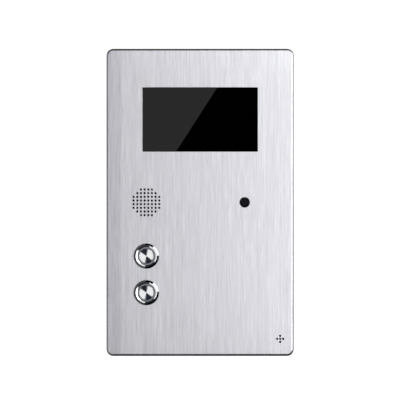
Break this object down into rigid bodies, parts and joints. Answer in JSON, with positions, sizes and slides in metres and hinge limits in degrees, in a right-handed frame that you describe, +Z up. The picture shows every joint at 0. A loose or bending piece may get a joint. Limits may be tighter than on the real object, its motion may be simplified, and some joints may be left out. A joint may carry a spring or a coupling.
{
  "type": "door intercom panel",
  "caption": "Upright stainless-steel door station with a display, a speaker grille, a camera, a microphone and ringed call buttons that press in on springs.",
  "frame": {"origin": "centre of the rear seal face, in the plane of the wall", "axes": "+X to the right as the visitor sees it, +Z up, +Y into the wall, so the front faces -Y"},
  "size_m": [0.164, 0.047, 0.269],
  "materials": {
    "shell_steel": "satin",
    "zinc_steel": "satin",
    "screw_steel": "satin",
    "button_steel": "polished",
    "seal_rubber": "matte",
    "window_glass": "gloss",
    "lens_glass": "gloss",
    "lcd_glass": "gloss",
    "diffuser_white": "satin",
    "black_plastic": "satin",
    "blue_plastic": "satin",
    "green_plastic": "satin",
    "ivory_plastic": "satin",
    "ring_grey": "satin",
    "speaker_paper": "matte",
    "magnet_steel": "satin",
    "circuit_board": "satin",
    "tinned_metal": "satin",
    "brass": "satin",
    "capacitor_can": "satin",
    "polyimide_film": "satin",
    "white_film": "satin",
    "black_wire": "satin",
    "red_wire": "satin",
    "spring_wire": "polished"
  },
  "bodies": {
    "panel": {"front_shell": "shell_steel", "hook_tabs": "zinc_steel", "back_plate": "zinc_steel", "plate_flanges": "zinc_steel", "wall_seal": "seal_rubber", "cable_grommet": "seal_rubber", "clinch_nuts": "screw_steel", "security_screws": "screw_steel", "pan_screws": "screw_steel", "window_seal": "seal_rubber", "display_window": "window_glass", "lcd_bezel": "zinc_steel", "lcd_panel": "lcd_glass", "lcd_backlight": "diffuser_white", "display_bracket": "zinc_steel", "lcd_ribbon": "polyimide_film", "bracket_standoffs": "zinc_steel", "speaker_mesh": "black_plastic", "speaker_gasket": "seal_rubber", "speaker_frame": "zinc_steel", "speaker_cone": "speaker_paper", "speaker_magnet": "magnet_steel", "speaker_clamp": "zinc_steel", "camera_window": "window_glass", "camera_lens": "lens_glass", "camera_barrel": "black_plastic", "camera_housing": "black_plastic", "camera_board": "circuit_board", "camera_bracket": "zinc_steel", "camera_ribbon": "white_film", "mic_capsule": "tinned_metal", "mic_boot": "seal_rubber", "mic_bracket": "zinc_steel", "main_board": "circuit_board", "board_standoffs": "brass", "processor_shield": "tinned_metal", "board_chips": "black_plastic", "capacitors": "capacitor_can", "door_relay": "blue_plastic", "network_jack": "tinned_metal", "terminal_block": "green_plastic", "board_headers": "ivory_plastic", "audio_leads": "black_wire", "button_leads": "red_wire", "button_seals": "seal_rubber", "button_nuts": "screw_steel", "button_terminals": "brass", "button_bezel_1": "button_steel", "button_bezel_2": "button_steel", "light_rings": "ring_grey", "button_guides": "black_plastic", "button_spring_1": "spring_wire", "button_spring_2": "spring_wire", "contact_block_1": "black_plastic", "contact_block_2": "black_plastic"},
    "call_button_1": {"button_cap_1": "button_steel", "button_plunger_1": "ivory_plastic"},
    "call_button_2": {"button_cap_2": "button_steel", "button_plunger_2": "ivory_plastic"}
  },
  "joints": [
    {"name": "call_button_1_press", "type": "slide", "parent": "panel", "child": "call_button_1", "axis": [0, 1, 0], "range_m": [0, 0.003], "stiffness_N_per_m": 900, "springref_m": -0.0015, "deforming": ["button_spring_1"]},
    {"name": "call_button_2_press", "type": "slide", "parent": "panel", "child": "call_button_2", "axis": [0, 1, 0], "range_m": [0, 0.003], "stiffness_N_per_m": 900, "springref_m": -0.0015, "deforming": ["button_spring_2"]}
  ]
}
